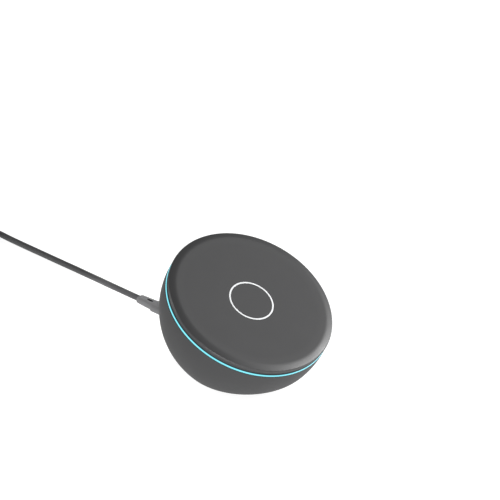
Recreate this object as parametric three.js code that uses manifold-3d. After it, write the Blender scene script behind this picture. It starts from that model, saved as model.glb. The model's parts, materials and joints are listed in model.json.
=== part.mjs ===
// A ball-shaped wireless charging stand with a slanted charging face, a glowing ring under the face,
// and a detachable USB cable. Millimetres, +Z up. The origin is the centre of the rubber foot's
// underside. -Y is the low side of the slanted face and +Y is the high side, where the cable plugs in.

import * as THREE from 'three';
import { mergeVertices } from 'three/addons/utils/BufferGeometryUtils.js';
import Module from 'manifold-3d';

const wasm = await Module();
wasm.setup();

// ---------------------------------------------------------------- driving dimensions

const GAP = 0.3; // between pieces that touch on the real object
const CUT = 1.0; // how far a cutting tool runs past the face it cuts

// Ball-shaped body
const BALL_RADIUS = 47.5;
const BALL_HEIGHT = 40.4; // the ball's centre above the table
const BASE_FILLET = 22.9; // blends the ball into its flat bottom
const WALL = 2.3;
const FLOOR_TOP = 3.8; // inside face of the shell's bottom
const INNER_FILLET = 19.0;
const RIM_HEIGHT = 1.15; // rim of the lower shell, above the ball's centre along the face's normal

// Slanted charging head, measured from the ball's centre along the face's normal
const FACE_TILT = 30;
const FACE_HEIGHT = 7.2;
const BEVEL_TILT = 16.5; // of the band round the face, in degrees
const BEVEL_CREASE = 7.0; // radius that blends the face into the bevel
const CHAMFER_TILT = 60; // of the steep chamfer between the bevel and the cover's side
const CHAMFER_TOP = 6.2;
const CHAMFER_FOOT = 5.42;
const COVER_EDGE = 4.9; // lower edge of the cover's side
const COVER_RADIUS = 47.5;
const COVER_THICKNESS = 1.6;
const COVER_WALL_INNER = 44.0;
const GROOVE_RADIUS = 46.9; // floor of the shadow groove between cover and light ring
const CLIP_INNER = 29.2; // the cover's inner clip wall
const CLIP_OUTER = 30.6;
const MARK_INNER = 11.95; // thin ring inlaid in the face
const MARK_OUTER = 12.85;
const MARK_DEPTH = 0.6;
const GLOW_BOTTOM = RIM_HEIGHT + GAP;
const GLOW_TOP = 2.65;
const GLOW_INNER = 39.0;
const FRAME_TOP = -0.15; // mid frame under the head
const FRAME_BOTTOM = -1.85;
const FRAME_RADIUS = 44.5;
const LED_COUNT = 8;
const LED_CIRCLE = 36.9;
const LED_BOARD_RADIUS = 37.8;
const LED_SIZE = [1.6, 3.0, 1.1];
const CARRIER_RADIUS = 28.8;
const CARRIER_FLOOR = 2.2;
const MAGNET_COUNT = 8;
const MAGNET_INNER = 23.4;
const MAGNET_OUTER = 27.2;
const MAGNET_SPAN = 38; // degrees of the ring that one magnet fills
const STACK_TOP = 5.2; // top of the coil and the magnets
const COIL_INNER = 9.0;
const COIL_OUTER = 22.2;
const COIL_BOTTOM = 3.6;
const FERRITE_RADIUS = 22.8;
const LEAD_HOLE_Y = 15; // hole for the coil's leads, along the slope
const LEAD_HOLE_RADIUS = 3.2;
const HARNESS_HOLE = [12, 33.5];
const HARNESS_HOLE_RADIUS = 1.8;

// Fasteners
const HEAD_SCREW = { head: 2.4, headHeight: 1.2, shank: 1.3, length: 8.5, circle: 41.0, count: 3 };
const BOARD_SCREW = { head: 2.2, headHeight: 1.2, shank: 1.0, length: 6.0, circle: 29.5, count: 3 };
const BASE_SCREW = { head: 2.8, headHeight: 0.9, shank: 1.4, length: 6.5, circle: 15.0, count: 3 };
const BOSS_RADIUS = 3.0;
const HEAD_BOSS_LENGTH = 14.5;

// Foot and ballast
const FOOT_RADIUS = 22.0;
const FOOT_THICKNESS = 1.5;
const FOOT_EDGE = 0.4;
const BALLAST_RADIUS = 24.5;
const BALLAST_BOTTOM = FLOOR_TOP + GAP;
const BALLAST_TOP = 11.0;
const BALLAST_CHAMFER = 4.0;

// Main board and what is on it
const BOARD_TOP = 14.85;
const BOARD_THICKNESS = 1.6;
const BOARD_RADIUS = 33.0;
const BOARD_TAB = { halfWidth: 6.0, reach: 35.0 };
const ON_BOARD = BOARD_TOP + GAP;

// USB-C socket and plug, both on a line along +Y
const PORT_HEIGHT = 16.8;
const PORT_OPENING = [11.2, 6.2];
const SOCKET = { outer: [9.3, 3.4], cavity: [8.6, 2.75], back: 30.4, mouth: 37.9, wall: 0.8 };
const TONGUE = { width: 6.6, thickness: 0.7, reach: 36.9 };
const PLUG_SHELL = { outer: [8.25, 2.4], cavity: [7.2, 1.3], tip: 31.6, root: 38.0, depth: 5.6 };
const OVERMOULD = { section: [9.4, 4.2], start: 38.3, end: 72.8, bevel: 0.6 };
const RELIEF = { wide: 7.4, narrow: 5.6, thickness: 3.9, start: 73.1, end: 82.0 };

// Cable
const CORD_RADIUS = 1.65;
const CORD_SIDES = 8;
const CORD_STEP = 7.5;
const COIL_CENTRE = [-3.1, 230];
const COIL_RING = { inner: 12.25, outer: 26.6, bottom: 0.75, top: 7.4, corner: 1.5 };
const TIE = { angle: 75, width: 5, thickness: 0.5, inner: 11.7, outer: 26.9, height: 7.7 };
const TAIL_ANGLE = 165; // where the cord leaves the coil, and then runs on along the tangent
const TAIL_RADIUS = 24.85;
const TAIL_START = 13.3; // along the tangent, clear of the coil's solid
const TAIL_END = 19.7;
const TAIL_HEIGHTS = [5.1, 4.0];
const FAR_RELIEF_LENGTH = 10;
const FAR_AXIS = 3.8;
const FAR_OVERMOULD = { section: [15.2, 7.6], length: 20, bevel: 0.8 };
const FAR_SHELL = { outer: [12.0, 4.5], cavity: [11.4, 3.9], length: 18.5 };
const FAR_INSERT = { width: 10.8, thickness: 1.7, length: 16 };

// The cord from the strain relief to the coil: level out of the relief, down to the table, and
// along it to the coil's outer turn.
const LEAD_ROUTE = [
  [0.0, 82.3, 16.8], [0.0, 90.0, 16.8], [0.7, 97.0, 16.3], [2.5, 104.0, 15.0],
  [5.4, 111.0, 12.9], [9.0, 118.0, 10.3], [12.8, 125.0, 7.6], [16.1, 132.0, 5.2],
  [18.7, 139.0, 3.3], [20.3, 146.0, 2.15], [21.0, 153.0, 1.7], [21.0, 162.0, 1.65],
  [21.0, 175.0, 1.65], [21.0, 190.0, 1.65], [21.0, 204.0, 1.75], [21.0, 215.3, 2.1],
];

// How finely round shapes are divided
const BALL_STEPS = 48;
const ROUND_STEPS = 36;
const SMALL_STEPS = 12;
const SIDE_STEPS = 10;
const EDGE_STEPS = 4;
const CREASE_STEPS = 3;

// ---------------------------------------------------------------- materials

const plastic = (color, roughness) => new THREE.MeshStandardMaterial({ color, roughness, metalness: 0 });
const metal = (color, roughness) => new THREE.MeshStandardMaterial({ color, roughness, metalness: 1 });

const materials = {
  body: plastic(0x5a5a5c, 0.55),
  frame: plastic(0x2c2c2e, 0.6),
  mark: plastic(0xe4e4e4, 0.5),
  glow: new THREE.MeshStandardMaterial({ color: 0x9fe8ff, roughness: 0.3, emissive: 0x35c8f0 }),
  rubber: plastic(0x242425, 0.9),
  steel: metal(0x9a9a9e, 0.4),
  copper: metal(0xc47a4a, 0.35),
  ferrite: plastic(0x3a3836, 0.7),
  board: plastic(0x1f5a3c, 0.5),
  chip: plastic(0x18181a, 0.4),
  led: plastic(0xf2f0e0, 0.3),
  cord: plastic(0x6c6c6e, 0.6),
  white: plastic(0xe8e8e6, 0.5),
};

// ---------------------------------------------------------------- solids

// Signed volume of an indexed triangle mesh: negative when its faces point inwards.
function signedVolume(positions, corners) {
  const a = new THREE.Vector3();
  const b = new THREE.Vector3();
  const c = new THREE.Vector3();
  let volume = 0;
  for (let i = 0; i < corners.length; i += 3) {
    a.fromArray(positions, 3 * corners[i]);
    b.fromArray(positions, 3 * corners[i + 1]);
    c.fromArray(positions, 3 * corners[i + 2]);
    volume += a.dot(b.cross(c)) / 6;
  }
  return volume;
}

// A closed three.js geometry as a solid that can be joined and cut.
function solid(geometry) {
  const bare = geometry.clone();
  bare.deleteAttribute('normal');
  bare.deleteAttribute('uv');
  const merged = mergeVertices(bare, 1e-4);
  const positions = merged.getAttribute('position').array;
  const corners = [];
  for (let i = 0; i < merged.index.count; i += 3) {
    const [a, b, c] = [0, 1, 2].map((k) => merged.index.getX(i + k));
    if (a !== b && b !== c && c !== a) corners.push(a, b, c);
  }
  if (signedVolume(positions, corners) < 0) corners.reverse();
  const vertProperties = new Float32Array(positions);
  const triVerts = new Uint32Array(corners);
  return new wasm.Manifold(new wasm.Mesh({ numProp: 3, vertProperties, triVerts }));
}

// A solid as a three.js geometry.
function geometryOf(body) {
  const mesh = body.getMesh();
  const geometry = new THREE.BufferGeometry();
  geometry.setAttribute('position', new THREE.BufferAttribute(new Float32Array(mesh.vertProperties), 3));
  geometry.setIndex(Array.from(mesh.triVerts));
  geometry.computeVertexNormals();
  return geometry;
}

// Puts a named piece into a group. The shape is a three.js geometry or a solid.
function add(group, name, shape, material, position = [0, 0, 0]) {
  const body = shape.isBufferGeometry ? solid(shape) : shape;
  const mesh = new THREE.Mesh(geometryOf(body), material);
  mesh.name = name;
  mesh.position.set(...position);
  group.add(mesh);
  return mesh;
}

// ---------------------------------------------------------------- shapes

// Points of an arc in a [radius, height] profile, between two angles in degrees.
function arc(centre, radii, fromAngle, toAngle, steps) {
  const points = [];
  for (let i = 0; i <= steps; i += 1) {
    const angle = THREE.MathUtils.degToRad(fromAngle + ((toAngle - fromAngle) * i) / steps);
    points.push([centre[0] + radii[0] * Math.cos(angle), centre[1] + radii[1] * Math.sin(angle)]);
  }
  return points;
}

// A profile of [radius, height] points turned about the Z axis.
function turned(profile, steps = ROUND_STEPS) {
  const points = profile.map(([radius, height]) => new THREE.Vector2(Math.max(radius, 0), height));
  return new THREE.LatheGeometry(points, steps).rotateX(Math.PI / 2);
}

function disc(radius, bottom, top, steps = ROUND_STEPS) {
  return turned([[0, bottom], [radius, bottom], [radius, top], [0, top]], steps);
}

function ring(inner, outer, bottom, top, steps = ROUND_STEPS) {
  return turned([[inner, bottom], [outer, bottom], [outer, top], [inner, top], [inner, bottom]], steps);
}

function block(width, depth, bottom, top) {
  return new THREE.BoxGeometry(width, depth, top - bottom).translate(0, 0, (bottom + top) / 2);
}

// A ball with a flat bottom that a fillet blends in. Heights are above the table.
function flattenedBall(radius, bottom, fillet) {
  const filletHeight = bottom + fillet;
  const drop = BALL_HEIGHT - filletHeight;
  const filletCentre = Math.sqrt((radius - fillet) ** 2 - drop ** 2);
  const tangent = THREE.MathUtils.radToDeg(Math.atan2(-drop, filletCentre));
  return turned([
    [0, bottom],
    ...arc([filletCentre, filletHeight], [fillet, fillet], -90, tangent, EDGE_STEPS),
    ...arc([0, BALL_HEIGHT], [radius, radius], tangent, 90, SIDE_STEPS).slice(1, -1),
    [0, BALL_HEIGHT + radius],
  ], BALL_STEPS);
}

// The outline of a flat bar with round edges, as connector housings have.
function stadium([width, thickness]) {
  const radius = thickness / 2;
  const reach = width / 2 - radius;
  const outline = new THREE.Shape();
  outline.absarc(reach, 0, radius, -Math.PI / 2, Math.PI / 2, false);
  outline.absarc(-reach, 0, radius, Math.PI / 2, (3 * Math.PI) / 2, false);
  return outline;
}

// A flat bar with round edges along +Y, from its start to its end, about the Y axis.
function bar(section, start, end, bevel = 0) {
  const outline = stadium([section[0] - 2 * bevel, section[1] - 2 * bevel]);
  const geometry = new THREE.ExtrudeGeometry(outline, {
    depth: end - start - 2 * bevel,
    curveSegments: EDGE_STEPS,
    bevelEnabled: bevel > 0,
    bevelSize: bevel,
    bevelThickness: bevel,
    bevelSegments: 2,
  });
  return geometry.translate(0, 0, start + bevel).rotateX(-Math.PI / 2);
}

// A tapered flat bar with elliptical section along +Y.
function taper([startWidth, startThickness], [endWidth, endThickness], start, end) {
  const geometry = new THREE.CylinderGeometry(0.5, 0.5, end - start, SMALL_STEPS, 1);
  geometry.translate(0, (start + end) / 2, 0);
  const points = geometry.getAttribute('position');
  for (let i = 0; i < points.count; i += 1) {
    const share = (points.getY(i) - start) / (end - start);
    points.setX(i, points.getX(i) * THREE.MathUtils.lerp(startWidth, endWidth, share));
    points.setZ(i, points.getZ(i) * THREE.MathUtils.lerp(startThickness, endThickness, share));
  }
  return geometry;
}

// A round cord along a smooth curve through the given points.
function tube(points, radius, steps) {
  const outline = new THREE.Shape();
  outline.absarc(0, 0, radius, 0, 2 * Math.PI, false);
  const section = new THREE.Shape(outline.getSpacedPoints(CORD_SIDES).slice(0, -1));
  const path = new THREE.CatmullRomCurve3(points, false, 'centripetal');
  return new THREE.ExtrudeGeometry(section, { steps, bevelEnabled: false, extrudePath: path });
}

// A pan-head screw that points down, with its head's seat at height 0.
function screw({ head, headHeight, shank, length }) {
  return turned([
    [0, -length],
    [shank, -length],
    [shank, 0],
    [head, 0],
    [head, headHeight * 0.6],
    [head * 0.75, headHeight],
    [0, headHeight],
  ], SMALL_STEPS);
}

// A blind hole for a screw's shank, down from the given height.
function screwHole({ shank, length }, top) {
  return disc(shank + GAP, top - length, top + CUT, SMALL_STEPS);
}

// [x, y] places evenly spread on a circle, the first at the given angle in degrees.
function circlePlaces(radius, count, firstAngle) {
  const places = [];
  for (let i = 0; i < count; i += 1) {
    const angle = THREE.MathUtils.degToRad(firstAngle + (360 * i) / count);
    places.push([radius * Math.cos(angle), radius * Math.sin(angle)]);
  }
  return places;
}

const pad = new THREE.Group();

// The slanted head: its +Z is the charging face's normal and its origin is the ball's centre.
const head = new THREE.Group();
head.position.set(0, 0, BALL_HEIGHT);
head.rotation.x = THREE.MathUtils.degToRad(FACE_TILT);
head.updateMatrix();
pad.add(head);

const inHead = (geometry) => geometry.applyMatrix4(head.matrix);
const headPoint = (x, y, z) => new THREE.Vector3(x, y, z).applyMatrix4(head.matrix);

const headScrewPlaces = circlePlaces(HEAD_SCREW.circle, HEAD_SCREW.count, 90);
const boardScrewPlaces = circlePlaces(BOARD_SCREW.circle, BOARD_SCREW.count, 30);
const baseScrewPlaces = circlePlaces(BASE_SCREW.circle, BASE_SCREW.count, 90);

// ---------------------------------------------------------------- lower shell

function lowerShell() {
  const outside = solid(flattenedBall(BALL_RADIUS, 0, BASE_FILLET));
  const inside = solid(flattenedBall(BALL_RADIUS - WALL, FLOOR_TOP, INNER_FILLET));
  let shell = outside.subtract(inside);

  const boardBossTop = BOARD_TOP - BOARD_THICKNESS - GAP;
  for (const [x, y] of boardScrewPlaces) {
    const boss = disc(BOSS_RADIUS, FLOOR_TOP, boardBossTop, SMALL_STEPS).translate(x, y, 0);
    shell = shell.add(solid(boss).intersect(outside));
  }
  const headBossTop = FRAME_BOTTOM - GAP;
  for (const [x, y] of headScrewPlaces) {
    const boss = disc(BOSS_RADIUS, headBossTop - HEAD_BOSS_LENGTH, headBossTop, SMALL_STEPS);
    shell = shell.add(solid(inHead(boss.translate(x, y, 0))).intersect(outside));
  }

  // The slanted rim, the foot's recess and the opening for the plug
  shell = shell.subtract(solid(inHead(disc(BALL_RADIUS + CUT, RIM_HEIGHT, BALL_RADIUS + CUT))));
  shell = shell.subtract(solid(disc(FOOT_RADIUS + GAP, -CUT, FOOT_THICKNESS + GAP)));
  const opening = bar(PORT_OPENING, SOCKET.back, BALL_RADIUS + CUT);
  shell = shell.subtract(solid(opening.translate(0, 0, PORT_HEIGHT)));

  // Screw holes
  for (const [x, y] of boardScrewPlaces) {
    const hole = screwHole(BOARD_SCREW, boardBossTop);
    shell = shell.subtract(solid(hole.translate(x, y, 0)));
  }
  for (const [x, y] of headScrewPlaces) {
    const hole = screwHole(HEAD_SCREW, headBossTop);
    shell = shell.subtract(solid(inHead(hole.translate(x, y, 0))));
  }
  const seat = FOOT_THICKNESS + 2 * GAP + BASE_SCREW.headHeight;
  for (const [x, y] of baseScrewPlaces) {
    const counterbore = disc(BASE_SCREW.head + GAP, 0, seat, SMALL_STEPS).translate(x, y, 0);
    const hole = disc(BASE_SCREW.shank + GAP, 0, FLOOR_TOP + CUT, SMALL_STEPS).translate(x, y, 0);
    shell = shell.subtract(solid(counterbore)).subtract(solid(hole));
  }
  return shell;
}

add(pad, 'lower_shell', lowerShell(), materials.body);

// ---------------------------------------------------------------- foot, ballast and base screws

add(pad, 'foot_pad', turned([
  [0, 0],
  [FOOT_RADIUS - FOOT_EDGE, 0],
  [FOOT_RADIUS, FOOT_EDGE],
  [FOOT_RADIUS, FOOT_THICKNESS],
  [0, FOOT_THICKNESS],
]), materials.rubber);

function ballast() {
  let weight = solid(turned([
    [0, BALLAST_BOTTOM],
    [BALLAST_RADIUS - BALLAST_CHAMFER, BALLAST_BOTTOM],
    [BALLAST_RADIUS, BALLAST_BOTTOM + BALLAST_CHAMFER],
    [BALLAST_RADIUS, BALLAST_TOP],
    [0, BALLAST_TOP],
  ]));
  for (const [x, y] of baseScrewPlaces) {
    const hole = disc(BASE_SCREW.shank + GAP, BALLAST_BOTTOM - CUT, BALLAST_TOP + CUT, SMALL_STEPS);
    weight = weight.subtract(solid(hole.translate(x, y, 0)));
  }
  return weight;
}

add(pad, 'ballast', ballast(), materials.steel);

// Base screws point up, with their heads under the foot
baseScrewPlaces.forEach(([x, y], i) => {
  const height = FOOT_THICKNESS + GAP + BASE_SCREW.headHeight;
  add(pad, `base_screw_${i + 1}`, screw(BASE_SCREW).rotateX(Math.PI), materials.steel, [x, y, height]);
});

// ---------------------------------------------------------------- main board

function mainBoard() {
  const bottom = BOARD_TOP - BOARD_THICKNESS;
  const tab = block(2 * BOARD_TAB.halfWidth, BOARD_TAB.reach / 2, bottom, BOARD_TOP);
  tab.translate(0, (BOARD_TAB.reach * 3) / 4, 0);
  let board = solid(disc(BOARD_RADIUS, bottom, BOARD_TOP)).add(solid(tab));
  for (const [x, y] of boardScrewPlaces) {
    const hole = disc(BOARD_SCREW.shank + GAP, bottom - CUT, BOARD_TOP + CUT, SMALL_STEPS);
    board = board.subtract(solid(hole.translate(x, y, 0)));
  }
  return board;
}

add(pad, 'main_board', mainBoard(), materials.board);

boardScrewPlaces.forEach(([x, y], i) => {
  add(pad, `board_screw_${i + 1}`, screw(BOARD_SCREW), materials.steel, [x, y, ON_BOARD]);
});

// Parts on the board: size [x, y, height] and place [x, y]
const boardBlocks = [
  { name: 'power_inductor', size: [8.0, 8.0, 4.5], place: [-14, 6], material: materials.ferrite },
  { name: 'charge_controller', size: [7.0, 7.0, 1.0], place: [2, -4], material: materials.chip },
  { name: 'coil_driver', size: [5.0, 6.0, 1.2], place: [-10, -10], material: materials.chip },
  { name: 'lead_connector', size: [8.0, 4.5, 4.0], place: [0, 15], material: materials.white },
];
for (const { name, size, place, material } of boardBlocks) {
  add(pad, name, block(size[0], size[1], 0, size[2]), material, [...place, ON_BOARD]);
}

const capacitor = turned([[0, 0], [3.2, 0], [3.2, 5.6], [2.8, 6], [0, 6]], SMALL_STEPS);
[[15, 9], [15, 0]].forEach(([x, y], i) => {
  add(pad, `capacitor_${i + 1}`, capacitor, materials.steel, [x, y, ON_BOARD]);
});

function usbSocket() {
  let socket = solid(bar(SOCKET.outer, SOCKET.back, SOCKET.mouth));
  socket = socket.subtract(solid(bar(SOCKET.cavity, SOCKET.back + SOCKET.wall, SOCKET.mouth + CUT)));
  const length = TONGUE.reach - SOCKET.back - SOCKET.wall / 2;
  const tongue = block(TONGUE.width, length, -TONGUE.thickness / 2, TONGUE.thickness / 2);
  return socket.add(solid(tongue.translate(0, TONGUE.reach - length / 2, 0)));
}

add(pad, 'usb_c_socket', usbSocket(), materials.steel, [0, 0, PORT_HEIGHT]);

// Leads from the charging coil and from the light board, down to the main board
const connectorTop = ON_BOARD + boardBlocks[3].size[2] + GAP;
[-1.4, 1.4].forEach((x, i) => {
  const route = [
    headPoint(x, LEAD_HOLE_Y, COIL_BOTTOM - GAP),
    headPoint(x, LEAD_HOLE_Y, FRAME_BOTTOM - 2),
    new THREE.Vector3(1.5 * x, 17, 33),
    new THREE.Vector3(x, 15, connectorTop + 5),
    new THREE.Vector3(x, 15, connectorTop),
  ];
  add(pad, `coil_lead_${i + 1}`, tube(route, 0.6, 12), materials.copper);
});

const harnessRoute = [
  headPoint(...HARNESS_HOLE, FRAME_TOP),
  headPoint(...HARNESS_HOLE, FRAME_BOTTOM - 2),
  new THREE.Vector3(12, 29, 36),
  new THREE.Vector3(11, 22, ON_BOARD + 8),
  new THREE.Vector3(11, 21, ON_BOARD),
];
add(pad, 'led_harness', tube(harnessRoute, 0.9, 12), materials.white);

// ---------------------------------------------------------------- mid frame and head screws

function midFrame() {
  let frame = solid(disc(FRAME_RADIUS, FRAME_BOTTOM, FRAME_TOP, BALL_STEPS));
  const cut = (x, y, radius) => {
    const hole = disc(radius, FRAME_BOTTOM - CUT, FRAME_TOP + CUT, SMALL_STEPS);
    frame = frame.subtract(solid(hole.translate(x, y, 0)));
  };
  for (const [x, y] of headScrewPlaces) cut(x, y, HEAD_SCREW.shank + GAP);
  cut(0, LEAD_HOLE_Y, LEAD_HOLE_RADIUS);
  cut(...HARNESS_HOLE, HARNESS_HOLE_RADIUS);
  return frame;
}

add(head, 'mid_frame', midFrame(), materials.frame);

headScrewPlaces.forEach(([x, y], i) => {
  const seat = FRAME_TOP + GAP / 3;
  add(head, `head_screw_${i + 1}`, screw(HEAD_SCREW), materials.steel, [x, y, seat]);
});

// ---------------------------------------------------------------- light ring and its board

const ledBoardBottom = FRAME_TOP + GAP;
const ledBoardTop = GLOW_BOTTOM - GAP;
const ledBoard = ring(CLIP_OUTER + GAP, LED_BOARD_RADIUS, ledBoardBottom, ledBoardTop);
add(head, 'led_board', ledBoard, materials.board);

circlePlaces(LED_CIRCLE, LED_COUNT, 22.5).forEach(([x, y], i) => {
  const led = add(head, `led_${i + 1}`, new THREE.BoxGeometry(...LED_SIZE), materials.led);
  led.position.set(x, y, GLOW_BOTTOM + LED_SIZE[2] / 2);
  led.rotation.z = Math.atan2(y, x);
});

const ballRadiusAt = (height) => Math.sqrt(BALL_RADIUS ** 2 - height ** 2);
add(head, 'light_ring', turned([
  [GLOW_INNER, GLOW_BOTTOM],
  [ballRadiusAt(GLOW_BOTTOM), GLOW_BOTTOM],
  [ballRadiusAt(GLOW_TOP), GLOW_TOP],
  [GLOW_INNER, GLOW_TOP],
  [GLOW_INNER, GLOW_BOTTOM],
], BALL_STEPS), materials.glow);

// ---------------------------------------------------------------- charging coil stack

function coilCarrier() {
  const carrier = solid(turned([
    [0, FRAME_TOP + GAP],
    [CARRIER_RADIUS, FRAME_TOP + GAP],
    [CARRIER_RADIUS, STACK_TOP],
    [MAGNET_OUTER + GAP, STACK_TOP],
    [MAGNET_OUTER + GAP, CARRIER_FLOOR],
    [0, CARRIER_FLOOR],
  ]));
  const hole = disc(LEAD_HOLE_RADIUS, FRAME_TOP, CARRIER_FLOOR + CUT, SMALL_STEPS);
  return carrier.subtract(solid(hole.translate(0, LEAD_HOLE_Y, 0)));
}

add(head, 'coil_carrier', coilCarrier(), materials.frame);

function ferriteShield() {
  const shield = solid(disc(FERRITE_RADIUS, CARRIER_FLOOR + GAP, COIL_BOTTOM - GAP));
  const hole = disc(LEAD_HOLE_RADIUS, CARRIER_FLOOR, COIL_BOTTOM + CUT, SMALL_STEPS);
  return shield.subtract(solid(hole.translate(0, LEAD_HOLE_Y, 0)));
}

add(head, 'ferrite_shield', ferriteShield(), materials.ferrite);
add(head, 'charging_coil', ring(COIL_INNER, COIL_OUTER, COIL_BOTTOM, STACK_TOP), materials.copper);
add(head, 'temperature_sensor', disc(2.5, COIL_BOTTOM, STACK_TOP - GAP, SMALL_STEPS), materials.chip);

function magnet() {
  const half = THREE.MathUtils.degToRad(MAGNET_SPAN / 2);
  const outline = new THREE.Shape();
  outline.absarc(0, 0, MAGNET_OUTER, -half, half, false);
  outline.absarc(0, 0, MAGNET_INNER, half, -half, true);
  const depth = STACK_TOP - CARRIER_FLOOR - GAP;
  const options = { depth, curveSegments: EDGE_STEPS, bevelEnabled: false };
  const geometry = new THREE.ExtrudeGeometry(outline, options);
  return geometry.translate(0, 0, CARRIER_FLOOR + GAP);
}

for (let i = 0; i < MAGNET_COUNT; i += 1) {
  add(head, `magnet_${i + 1}`, magnet(), materials.steel).rotation.z = (2 * Math.PI * i) / MAGNET_COUNT;
}

// ---------------------------------------------------------------- top cover and its ring mark

const coverInside = FACE_HEIGHT - COVER_THICKNESS;
const markFloor = FACE_HEIGHT - MARK_DEPTH - GAP;

// The face's edge: a steep chamfer at the side, a bevel, and a soft crease where the flat face starts
function faceEdge() {
  const bevel = THREE.MathUtils.degToRad(BEVEL_TILT);
  const steep = THREE.MathUtils.degToRad(CHAMFER_TILT);
  const chamferRadius = COVER_RADIUS - (CHAMFER_TOP - CHAMFER_FOOT) / Math.tan(steep);
  const faceRadius = chamferRadius - (FACE_HEIGHT - CHAMFER_TOP) / Math.tan(bevel);
  const creaseCentre = [
    faceRadius - BEVEL_CREASE * Math.tan(bevel / 2),
    FACE_HEIGHT - BEVEL_CREASE,
  ];
  return [
    [COVER_RADIUS, CHAMFER_FOOT],
    [chamferRadius, CHAMFER_TOP],
    ...arc(creaseCentre, [BEVEL_CREASE, BEVEL_CREASE], 90 - BEVEL_TILT, 90, CREASE_STEPS),
  ];
}

add(head, 'top_cover', turned([
  [0, coverInside],
  [CLIP_INNER, coverInside],
  [CLIP_INNER, FRAME_TOP + GAP],
  [CLIP_OUTER, FRAME_TOP + GAP],
  [CLIP_OUTER, coverInside],
  [COVER_WALL_INNER, coverInside],
  [COVER_WALL_INNER, GLOW_TOP + GAP],
  [GROOVE_RADIUS, GLOW_TOP + GAP],
  [GROOVE_RADIUS, COVER_EDGE],
  [COVER_RADIUS, COVER_EDGE],
  ...faceEdge(),
  [MARK_OUTER + GAP, FACE_HEIGHT],
  [MARK_OUTER + GAP, markFloor],
  [MARK_INNER - GAP, markFloor],
  [MARK_INNER - GAP, FACE_HEIGHT],
  [0, FACE_HEIGHT],
], BALL_STEPS), materials.body);

const markBottom = FACE_HEIGHT - MARK_DEPTH;
add(head, 'ring_mark', ring(MARK_INNER, MARK_OUTER, markBottom, FACE_HEIGHT, BALL_STEPS), materials.mark);

// ---------------------------------------------------------------- cable, body end

const plugAxis = [0, 0, PORT_HEIGHT];

function plugShell() {
  const shell = solid(bar(PLUG_SHELL.outer, PLUG_SHELL.tip, PLUG_SHELL.root));
  const cavity = bar(PLUG_SHELL.cavity, PLUG_SHELL.tip - CUT, PLUG_SHELL.tip + PLUG_SHELL.depth);
  return shell.subtract(solid(cavity));
}

add(pad, 'usb_c_shell', plugShell(), materials.steel, plugAxis);

const overmould = bar(OVERMOULD.section, OVERMOULD.start, OVERMOULD.end, OVERMOULD.bevel);
add(pad, 'usb_c_overmould', overmould, materials.cord, plugAxis);

const reliefStart = [RELIEF.wide, RELIEF.thickness];
const reliefEnd = [RELIEF.narrow, RELIEF.thickness];
const relief = taper(reliefStart, reliefEnd, RELIEF.start, RELIEF.end);
add(pad, 'usb_c_strain_relief', relief, materials.cord, plugAxis);

// ---------------------------------------------------------------- cord and its coil

const leadRoute = LEAD_ROUTE.map((point) => new THREE.Vector3(...point));
const leadLength = new THREE.CatmullRomCurve3(leadRoute, false, 'centripetal').getLength();
add(pad, 'cord_lead', tube(leadRoute, CORD_RADIUS, Math.round(leadLength / CORD_STEP)), materials.cord);

const { corner } = COIL_RING;
add(pad, 'cord_coil', turned([
  [COIL_RING.inner + corner, COIL_RING.bottom],
  [COIL_RING.outer - corner, COIL_RING.bottom],
  [COIL_RING.outer, COIL_RING.bottom + corner],
  [COIL_RING.outer, COIL_RING.top - corner],
  [COIL_RING.outer - corner, COIL_RING.top],
  [COIL_RING.inner + corner, COIL_RING.top],
  [COIL_RING.inner, COIL_RING.top - corner],
  [COIL_RING.inner, COIL_RING.bottom + corner],
  [COIL_RING.inner + corner, COIL_RING.bottom],
]), materials.cord, [...COIL_CENTRE, 0]);

// The tie is a strap around the coil's bundle, with its underside on the table
function cordTie() {
  const { width, thickness, inner, outer, height } = TIE;
  const box = (margin, bottom, top) => new THREE.Shape([
    new THREE.Vector2(inner - margin, bottom),
    new THREE.Vector2(outer + margin, bottom),
    new THREE.Vector2(outer + margin, top),
    new THREE.Vector2(inner - margin, top),
  ]);
  const strap = box(thickness, 0, height + thickness);
  strap.holes.push(box(0, thickness, height));
  const geometry = new THREE.ExtrudeGeometry(strap, { depth: width, bevelEnabled: false });
  return geometry.translate(0, 0, -width / 2).rotateX(Math.PI / 2);
}

const tie = add(pad, 'cord_tie', cordTie(), materials.rubber, [...COIL_CENTRE, 0]);
tie.rotation.z = THREE.MathUtils.degToRad(TIE.angle);

// ---------------------------------------------------------------- cable, far end

// The far end's group has its origin where the cord leaves the coil, with +Y along the tangent.
const farEnd = new THREE.Group();
const tailAngle = THREE.MathUtils.degToRad(TAIL_ANGLE);
const tailX = COIL_CENTRE[0] + TAIL_RADIUS * Math.cos(tailAngle);
const tailY = COIL_CENTRE[1] + TAIL_RADIUS * Math.sin(tailAngle);
farEnd.position.set(tailX, tailY, 0);
farEnd.rotation.z = tailAngle;
pad.add(farEnd);

const tailRoute = [
  new THREE.Vector3(0, TAIL_START, TAIL_HEIGHTS[0]),
  new THREE.Vector3(0, (TAIL_START + TAIL_END) / 2, (TAIL_HEIGHTS[0] + TAIL_HEIGHTS[1]) / 2),
  new THREE.Vector3(0, TAIL_END, TAIL_HEIGHTS[1]),
];
add(farEnd, 'cord_tail', tube(tailRoute, CORD_RADIUS, 2), materials.cord);

const farAxis = [0, 0, FAR_AXIS];
const farReliefStart = TAIL_END + GAP;
const farReliefEnd = farReliefStart + FAR_RELIEF_LENGTH;
const farRelief = taper([4.6, 4.2], [8.0, 6.0], farReliefStart, farReliefEnd);
add(farEnd, 'usb_a_strain_relief', farRelief, materials.cord, farAxis);

const farBodyStart = farReliefEnd + GAP;
const farBodyEnd = farBodyStart + FAR_OVERMOULD.length;
const farBody = bar(FAR_OVERMOULD.section, farBodyStart, farBodyEnd, FAR_OVERMOULD.bevel);
add(farEnd, 'usb_a_overmould', farBody, materials.cord, farAxis);

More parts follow.
